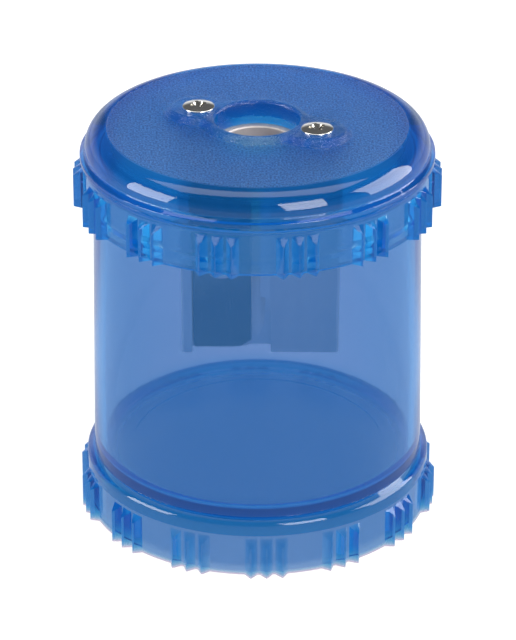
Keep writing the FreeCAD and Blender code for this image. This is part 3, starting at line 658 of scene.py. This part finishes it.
class SHARPENER_OT_lid(bpy.types.Operator):
    """Make the clear lid: grained disc, lobed pad, rounded shoulder and ribbed skirt."""

    bl_idname = "sharpener.lid"
    bl_label = "Lid"

    def execute(self, context):
        sizes = context.scene.sharpener_lid
        ribs = context.scene.sharpener_ribs
        finishes = context.scene.sharpener_finishes
        angles, proud = rib_columns(ribs, ribs.lid_turn, sizes.skirt_radius)
        columns = len(angles)
        tip = max(LID_HIGH.x, -LID_LOW.x, LID_HIGH.y, -LID_LOW.y)
        low = LID_LOW.z
        pad_top = LID_HIGH.z
        edge_top = pad_top - sizes.disc_drop
        disc_top = edge_top - sizes.disc_step
        under = edge_top - sizes.plate
        boss = under - sizes.boss_drop
        rib_top = low + sizes.rib_height
        snap = context.scene.sharpener_container.snap_height
        pad_end = sizes.pad_end
        lip = sizes.hole_radius + sizes.hole_edge
        bead_top = sizes.bead_low + sizes.bead_width
        shoulder_low = bead_top + sizes.bead_back

        def inside(r):
            """How far each point lies inside the pad's lobed outline, negative outside it.

            The outline is the union of a circle round the axis and a straight arm, as wide as the lobes,
            from one screw to the other.  The smaller of their two distances counts, blended over soft.
            """
            x = r * np.sin(angles)
            y = -r * np.cos(angles)
            end = screw_places()[1]
            along = np.clip((x * end[0] + y * end[1]) / (end[0] ** 2 + end[1] ** 2), -1, 1)
            arm = np.hypot(x - along * end[0], y - along * end[1]) - sizes.lobe_radius
            middle = np.hypot(x, y) - sizes.pad_radius
            soft = 0.9 * MM
            mix = np.clip(0.5 + (arm - middle) / (2 * soft), 0, 1)
            distance = arm * (1 - mix) + middle * mix - soft * mix * (1 - mix)
            return -distance

        rows = np.linspace(pad_end, lip, PAD_ROWS)[:, None] * np.ones(columns)
        lift = smooth_step((inside(rows) + sizes.pad_foot) / (sizes.pad_foot + sizes.pad_round))
        pad_block = (rows, disc_top + (pad_top - disc_top) * lift)
        back = rows[[*range(PAD_ROWS - 1, 0, -2), 0]]
        boss_block = (back, under + (boss - under) * smooth_step(inside(back) / (0.3 * MM)))

        below = rounded([
            (pad_end, under, 0),
            (sizes.ledge_radius, under, 1.75 * MM),
            (sizes.ledge_radius, sizes.ledge_height, 0.15 * MM),
            (sizes.skirt_bore, sizes.ledge_height, 0.15 * MM),
            (sizes.skirt_bore, snap + sizes.groove_half, 0.15 * MM),
            (sizes.skirt_bore + sizes.groove_deep, snap, 0.4 * MM),
            (sizes.skirt_bore, snap - sizes.groove_half, 0.15 * MM),
            (sizes.skirt_bore, low + sizes.lead_in, 0),
            (sizes.skirt_bore + sizes.lead_in, low, 0),
            (sizes.skirt_radius, low, 0),
        ], steps=4)
        band = ribbed_band(sizes.skirt_radius, tip, low, rib_top, ribs.slope, proud)
        above = rounded([
            (sizes.skirt_radius, rib_top + BAND_END, 0),
            (sizes.skirt_radius, sizes.bead_low - sizes.bead_lead, 0.2 * MM),
            (sizes.bead_radius, sizes.bead_low, 0.15 * MM),
            (sizes.bead_radius, bead_top, 0.18 * MM),
            (sizes.shoulder_radius, shoulder_low, 0.3 * MM),
            (sizes.shoulder_radius, edge_top, sizes.shoulder_round),
            (sizes.disc_radius + 0.12 * MM, edge_top, 0),
            (sizes.disc_radius, disc_top, 0),
            (pad_end, disc_top, 0),
        ], steps=6)
        hole = rounded([
            (lip, pad_top, 0),
            (sizes.hole_radius, pad_top, 0.4 * MM),
            (sizes.hole_radius, boss, 0.1 * MM),
            (lip, boss, 0),
        ])
        disc_rows = np.linspace(0, 1, 7)[:, None]
        disc_edge = above[-2]
        disc = disc_edge + (above[-1] - disc_edge) * disc_rows
        blocks = [
            ringed(below, columns), band, ringed(above[:-1], columns), ringed(disc, columns),
            pad_block, ringed(hole, columns), boss_block,
        ]
        r, z = stack(blocks)
        if np.allclose(r[0], r[-1]) and np.allclose(z[0], z[-1]):
            r, z = r[:-1], z[:-1]
        on_disc = (z > disc_top - SMALL) & (r < sizes.disc_radius + 0.1 * SMALL)
        beside_pad = 1 - smooth_step(inside(np.where(on_disc, r, 1.0)) / (0.7 * MM) + 0.8)
        beside_pad = np.maximum(beside_pad, finishes.grain_least)
        grain = np.where(on_disc, np.where(r > pad_end, 1.0, beside_pad), 0.0)
        beneath = (np.abs(z - under) < 0.6 * MM) | (np.abs(z - boss) < SMALL)
        within = (r < sizes.skirt_bore + 0.3 * MM) & (z < under)
        bored = (r < sizes.hole_radius + SMALL) & (z < disc_top)
        on_pad = (z > disc_top + 0.1 * SMALL) & (r < pad_end)
        frost = np.maximum(grain, (beneath & (r < sizes.ledge_radius)) * finishes.frost_plate)
        frost = np.maximum(frost, (within | bored) * finishes.frost_bore)
        frost = np.maximum(frost, on_pad * finishes.frost_pad)
        # Painted shade: the lid's rounded shoulder gets the deep mark and is coloured darker.
        shoulder = (r > sizes.disc_radius + 0.2 * MM) & (z > shoulder_low + 0.2 * MM)
        piece = add_piece("lid_shell", turned_points(r, z, angles), loop=True,
                          marks={"grain": grain, "frost": frost, "deep": shoulder * 1.0})
        cut_screw_holes(piece, context.scene.sharpener_screws)
        wear(piece, clear_plastic(
            "clear_blue_grained", finishes, bpy.data.node_groups["Handled Surface"], True))
        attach(piece, "lid")
        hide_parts("lid")
        return {"FINISHED"}


def screw_places():
    """Each lid screw's (x, y), from the middle of its box."""
    return [((low.x + high.x) / 2, (low.y + high.y) / 2) for low, high in SCREW_BOXES]


def cut_screw_holes(lid, sizes):
    """Sink each screw's clearance hole and countersink into the lid."""
    top = SCREW_BOXES[0][1].z
    cone_top = top - sizes.crown - sizes.land
    head = sizes.head_radius + sizes.head_play
    shank = sizes.shank_radius + sizes.shank_play
    outline = rounded([
        (sizes.axis_gap, sizes.hole_low, 0),
        (shank, sizes.hole_low, 0),
        (shank, cone_top - sizes.head_cone, 0),
        (head, cone_top, 0),
        (head, top + 1 * MM, 0),
        (sizes.axis_gap, top + 1 * MM, 0),
    ])
    angles = np.linspace(0, 2 * math.pi, 64, endpoint=False)
    for x, y in screw_places():
        points = turned_points(*ringed(outline, len(angles)), angles)
        cutter = add_piece("screw_hole", points + np.array([x, y, 0]))
        modifier = lid.modifiers.new("screw hole", "BOOLEAN")
        modifier.operation = "DIFFERENCE"
        modifier.solver = "EXACT"
        modifier.object = cutter
        bpy.context.view_layer.update()
        shaped = bpy.data.meshes.new_from_object(lid.evaluated_get(bpy.context.evaluated_depsgraph_get()))
        lid.modifiers.remove(modifier)
        lid.data = shaped
        bpy.data.objects.remove(cutter)
    lid.data.set_sharp_from_angle(angle=math.radians(CREASE))


class SHARPENER_OT_metal(bpy.types.Operator):
    """Finish the metal body, the blade and the screws."""

    bl_idname = "sharpener.metal"
    bl_label = "Metal parts"

    def execute(self, context):
        finishes = context.scene.sharpener_finishes
        streaks = bpy.data.node_groups["Tool Streaks"]
        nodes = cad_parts
        # Painted shade: darker, warmer metal at the top of the body, under the lid.
        entry = ([("Z", finishes.entry_painted_shade_from, finishes.entry_painted_shade_full)], finishes.entry)
        # Darker metal on the front of the flank.
        flank = ([("X", finishes.flank_side, finishes.flank_side_full),
                  ("Y", finishes.flank_front, finishes.flank_front_full)], finishes.flank)
        milled = worked_metal(
            "milled_magnesium", finishes.magnesium, streaks, (900.0, 900.0, 160.0), smooth=0.42, dull=0.62,
            depth=0.04 * MM, contrast=0.18, metallic=0.6, places=[entry, flank])
        # The blade's steel colour is darkened and blued as painted shade.
        ground = worked_metal(
            "ground_steel", finishes.steel_painted_dark, streaks, (5000.0, 700.0, 500.0), smooth=0.12, dull=0.3,
            depth=0.01 * MM, contrast=0.2)
        plated = worked_metal(
            "plated_steel", finishes.nickel, streaks, (1500.0, 1500.0, 1500.0), smooth=0.06, dull=0.16,
            depth=0.01 * MM, contrast=0.1)
        wear(nodes["sharpener_body"], milled)
        wear(nodes["blade"], ground)
        for name in ("blade_screw", "lid_screw_left", "lid_screw_right"):
            wear(nodes[name], plated)
        return {"FINISHED"}


# ---------------------------------------------------------------- stage

def softbox(name, azimuth, height, away, wide, tall, power):
    """A rectangular light facing the sharpener; azimuth in degrees from the front, positive to +X."""
    light = bpy.data.lights.new(name, "AREA")
    light.shape = "RECTANGLE"
    light.size = wide
    light.size_y = tall
    light.energy = power
    lamp = bpy.data.objects.new(name, light)
    lamp.visible_transmission = False
    turn = math.radians(azimuth)
    place = Vector((away * math.sin(turn), -away * math.cos(turn), height))
    lamp.location = place
    lamp.rotation_euler = (Vector((0, 0, LIGHT_AIM)) - place).to_track_quat("-Z", "Y").to_euler()
    bpy.context.scene.collection.objects.link(lamp)
    return lamp


def floor_paint(finishes):
    """Pale matt floor that glows like a light table, dimmer in reflections, and with a painted shadow under
    the container, where it glows less.
    """
    material, tree, output = fresh_material("studio_floor")
    where = tree.nodes.new("ShaderNodeTexCoord").outputs["Object"]
    cloudy = put(tree, "ShaderNodeTexNoise", None, Vector=where, Scale=3.0, Detail=3.0)
    rough = put(tree, "ShaderNodeMapRange", None, Value=cloudy.outputs[0], To_Min=0.6, To_Max=0.75)
    reflected = tree.nodes.new("ShaderNodeLightPath").outputs["Is Reflection Ray"]
    shown = put(tree, "ShaderNodeMapRange", None, Value=reflected, To_Min=1.0, To_Max=0.6)
    away = put(tree, "ShaderNodeVectorMath", {"operation": "LENGTH"}, Vector=where)
    # Painted shadow: inside the container's foot the floor glows less (0.3) and is paler.
    foot = CONTAINER_HIGH.x
    outside = put(tree, "ShaderNodeMapRange", None, Value=away.outputs["Value"], From_Min=foot - 4 * MM,
                  From_Max=foot - 2 * MM, To_Min=0.0, To_Max=1.0).outputs[0]
    pale = put(tree, "ShaderNodeMapRange", None, Value=outside, To_Min=0.9, To_Max=finishes.floor)
    glow_with_painted_shadow = put(tree, "ShaderNodeMapRange", None, Value=outside, To_Min=0.3, To_Max=finishes.floor_glow)
    tint = put(tree, "ShaderNodeCombineColor", None)
    for channel in tint.inputs[:3]:
        tree.links.new(sums(tree, "MULTIPLY", pale.outputs[0], shown.outputs[0]), channel)
    glow = sums(tree, "MULTIPLY", shown.outputs[0], glow_with_painted_shadow.outputs[0])
    shader = put(tree, "ShaderNodeBsdfPrincipled", None, Base_Color=tint.outputs[0],
                 Roughness=rough.outputs[0], Specular_IOR_Level=0.1, Emission_Color=(1.0, 1.0, 1.0, 1.0),
                 Emission_Strength=glow)
    tree.links.new(shader.outputs[0], output.inputs["Surface"])
    return material


def studio_sky():
    """Dark surroundings with a bright backdrop low behind; whatever shines through the plastic is bright."""
    world = bpy.data.worlds.new("studio")
    world.use_nodes = True
    tree = world.node_tree
    way = put(tree, "ShaderNodeSeparateXYZ", None,
              Vector=tree.nodes.new("ShaderNodeTexCoord").outputs["Generated"])
    low = put(tree, "ShaderNodeMapRange", None, Value=way.outputs["Z"], From_Min=0.1, From_Max=0.36,
              To_Min=1.0, To_Max=0.0)
    behind = put(tree, "ShaderNodeMapRange", None, Value=way.outputs["Y"], From_Min=-0.1, From_Max=0.6,
                 To_Min=0.2, To_Max=0.9)
    backdrop = sums(tree, "ADD", sums(tree, "MULTIPLY", low.outputs[0], behind.outputs[0]), 0.13)
    through = tree.nodes.new("ShaderNodeLightPath").outputs["Is Transmission Ray"]
    shine = put(tree, "ShaderNodeMix", {"data_type": "FLOAT"})
    tree.links.new(through, shine.inputs[0])
    tree.links.new(backdrop, shine.inputs[2])
    shine.inputs[3].default_value = 1.0
    tree.nodes["Background"].inputs["Color"].default_value = (0.95, 0.97, 1.0, 1.0)
    tree.links.new(shine.outputs[0], tree.nodes["Background"].inputs["Strength"])
    return world


class SHARPENER_OT_stage(bpy.types.Operator):
    """Lay the floor, hang the lights and set the camera."""

    bl_idname = "sharpener.stage"
    bl_label = "Stage"

    def execute(self, context):
        scene = context.scene
        studio = scene.sharpener_studio
        floor = bpy.data.objects.new("studio_floor", bpy.data.meshes.new("studio_floor"))
        reach = 4.0
        corners = [(-reach, -reach, 0), (reach, -reach, 0), (reach, reach, 0), (-reach, reach, 0)]
        floor.data.from_pydata(corners, [], [(0, 1, 2, 3)])
        scene.collection.objects.link(floor)
        wear(floor, floor_paint(scene.sharpener_finishes))
        scene.world = studio_sky()
        softbox("overhead", azimuth=180, height=1.2, away=0.15, wide=1.5, tall=0.7, power=10.0)
        softbox("left_box", azimuth=-74, height=0.2, away=0.75, wide=0.46, tall=0.5, power=7.0)
        softbox("right_box", azimuth=31, height=0.4, away=0.8, wide=0.42, tall=0.6, power=8.0)
        softbox("far_right_box", azimuth=96, height=0.3, away=0.75, wide=0.62, tall=0.6, power=9.0)

        camera = bpy.data.objects.new("camera", bpy.data.cameras.new("camera"))
        camera.data.lens = studio.lens
        camera.data.sensor_width = 36.0
        camera.location = (0, -studio.distance * math.cos(studio.elevation),
                           studio.middle + studio.distance * math.sin(studio.elevation))
        aim = Vector((studio.aim_side, 0, studio.aim_height))
        camera.rotation_euler = (aim - camera.location).to_track_quat("-Z", "Y").to_euler()
        camera.data.clip_start = 0.01
        scene.collection.objects.link(camera)
        scene.camera = camera
        scene.view_settings.view_transform = "Standard"
        scene.cycles.max_bounces = 24
        scene.cycles.transmission_bounces = 24
        return {"FINISHED"}


# ---------------------------------------------------------------- panel and run

class SHARPENER_PT_panel(bpy.types.Panel):
    """Buttons for each piece and for the stage."""

    bl_label = "Canister Sharpener"
    bl_idname = "SHARPENER_PT_panel"
    bl_space_type = "VIEW_3D"
    bl_region_type = "UI"
    bl_category = "Sharpener"

    def draw(self, context):
        for operator in OPERATORS:
            self.layout.operator(operator.bl_idname)


GROUPS = {
    "sharpener_ribs": RibSizes,
    "sharpener_container": ContainerSizes,
    "sharpener_lid": LidSizes,
    "sharpener_screws": ScrewSizes,
    "sharpener_finishes": Finishes,
    "sharpener_studio": StudioSettings,
}
OPERATORS = [SHARPENER_OT_container, SHARPENER_OT_lid, SHARPENER_OT_metal, SHARPENER_OT_stage]


def register():
    """Make Blender know the settings, the operators and the panel."""
    for name, group in GROUPS.items():
        bpy.utils.register_class(group)
        setattr(bpy.types.Scene, name, bpy.props.PointerProperty(type=group))
    for kind in OPERATORS + [SHARPENER_PT_panel]:
        bpy.utils.register_class(kind)


def unregister():
    """Take everything back out."""
    for kind in reversed(OPERATORS + [SHARPENER_PT_panel]):
        bpy.utils.unregister_class(kind)
    for name, group in GROUPS.items():
        delattr(bpy.types.Scene, name)
        bpy.utils.unregister_class(group)


def main():
    """Build every piece in order."""
    register()
    handled_surface()
    tool_streaks()
    bpy.ops.sharpener.container()
    bpy.ops.sharpener.lid()
    bpy.ops.sharpener.metal()
    bpy.ops.sharpener.stage()


if __name__ == "__main__":
    main()
